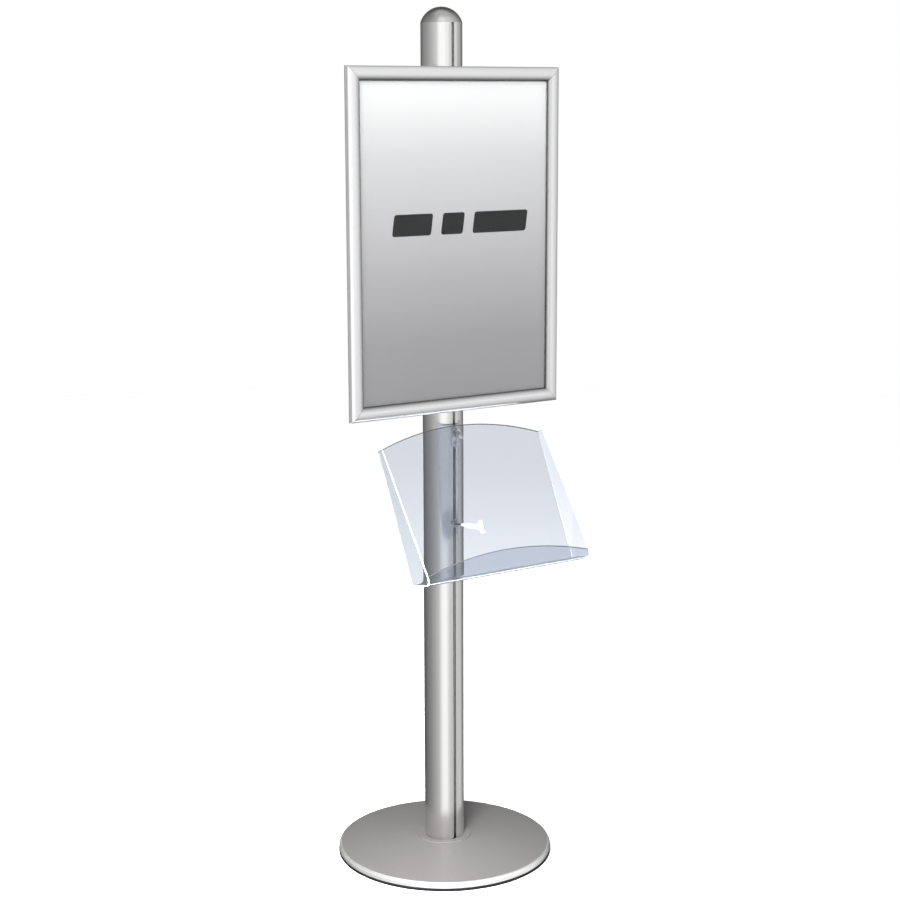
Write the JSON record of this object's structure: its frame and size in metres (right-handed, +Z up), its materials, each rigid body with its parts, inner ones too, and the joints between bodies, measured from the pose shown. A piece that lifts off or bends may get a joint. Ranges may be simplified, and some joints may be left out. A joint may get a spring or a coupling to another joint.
{
  "type": "sign stand",
  "caption": "Free-standing sign stand: weighted round base, slotted round post with domed cap, snap-open poster frame and clear tilting leaflet tray.",
  "frame": {"origin": "centre of the base's underside, on the post's axis, at floor level", "axes": "+Z up the post, -Y the way the poster faces, +X across the frame"},
  "size_m": [0.5432, 0.511, 1.908],
  "materials": {
    "rubber": "matt black rubber",
    "steel": "plain milled steel",
    "powder_coat": "fine-textured grey powder coat",
    "cast_aluminium": "as cast",
    "zinc_steel": "bright zinc plate",
    "anodised_aluminium": "natural satin anodised extrusion",
    "cap_aluminium": "cast aluminium, satin turned",
    "frame_base": "mill finish extrusion",
    "snap_rail": "natural satin anodised extrusion",
    "spring_steel": "blued spring steel",
    "board": "white styrene sheet",
    "poster_paper": "coated poster paper",
    "clear_film": "clear anti-glare sheet",
    "washer_plastic": "clear nylon",
    "clear_acrylic": "clear acrylic with polished edges",
    "white_plastic": "white moulded plastic"
  },
  "bodies": {
    "stand": {"base_mat": "rubber", "base_weight_plate": "steel", "base_edge_ring": "rubber", "base_cover": "powder_coat", "base_collar": "powder_coat", "foot_plug": "cast_aluminium", "base_bolts": "zinc_steel", "base_washers": "zinc_steel", "plug_screws": "zinc_steel", "post": "anodised_aluminium", "top_cap": "cap_aluminium"},
    "frame": {"frame_rail_left": "frame_base", "frame_rail_right": "frame_base", "frame_rail_top": "frame_base", "frame_rail_bottom": "frame_base", "corner_keys": "zinc_steel", "snap_springs": "spring_steel", "backboard": "board", "poster": "poster_paper", "poster_cover": "clear_film", "cross_bar_lower": "frame_base", "cross_bar_upper": "frame_base", "bar_screws": "zinc_steel", "frame_clamp_screws": "zinc_steel", "frame_slot_nuts": "zinc_steel"},
    "snap_left": {"snap_rail_left": "snap_rail"},
    "snap_right": {"snap_rail_right": "snap_rail"},
    "snap_top": {"snap_rail_top": "snap_rail"},
    "snap_bottom": {"snap_rail_bottom": "snap_rail"},
    "carriage": {"shelf_bracket": "anodised_aluminium", "bracket_screws": "zinc_steel", "bracket_slot_nut": "zinc_steel", "hinge_pin": "zinc_steel"},
    "tray": {"hinge_leaf": "clear_acrylic", "leaf_screws": "zinc_steel", "leaf_washers": "washer_plastic", "tray_sheet": "clear_acrylic", "tray_cheek_left": "clear_acrylic", "tray_cheek_right": "clear_acrylic"},
    "prop": {"prop_slot_nut": "zinc_steel", "prop_locknut": "zinc_steel", "prop_stem": "zinc_steel", "prop_arm": "white_plastic", "prop_foot": "white_plastic"}
  },
  "joints": [
    {"name": "frame_slide", "type": "slide", "parent": "stand", "child": "frame", "axis": [0, 0, 1], "range_m": [0, 0.075]},
    {"name": "snap_left_hinge", "type": "hinge", "parent": "frame", "child": "snap_left", "pos_m": [-0.2686, -0.0568, 1.411], "axis": [0, 0, -1], "range_deg": [0, 80]},
    {"name": "snap_right_hinge", "type": "hinge", "parent": "frame", "child": "snap_right", "pos_m": [0.2686, -0.0568, 1.411], "axis": [0, 0, 1], "range_deg": [0, 80]},
    {"name": "snap_top_hinge", "type": "hinge", "parent": "frame", "child": "snap_top", "pos_m": [0, -0.0568, 1.7796], "axis": [-1, 0, 0], "range_deg": [0, 80]},
    {"name": "snap_bottom_hinge", "type": "hinge", "parent": "frame", "child": "snap_bottom", "pos_m": [0, -0.0568, 1.0424], "axis": [1, 0, 0], "range_deg": [0, 80]},
    {"name": "shelf_slide", "type": "slide", "parent": "stand", "child": "carriage", "axis": [0, 0, 1], "range_m": [-0.45, 0]},
    {"name": "shelf_tilt", "type": "hinge", "parent": "carriage", "child": "tray", "pos_m": [0, -0.0543, 0.98681], "axis": [-1, 0, 0], "range_deg": [0, 16]},
    {"name": "prop_slide", "type": "slide", "parent": "carriage", "child": "prop", "axis": [0, 0, 1], "range_m": [-0.1, 0]}
  ]
}
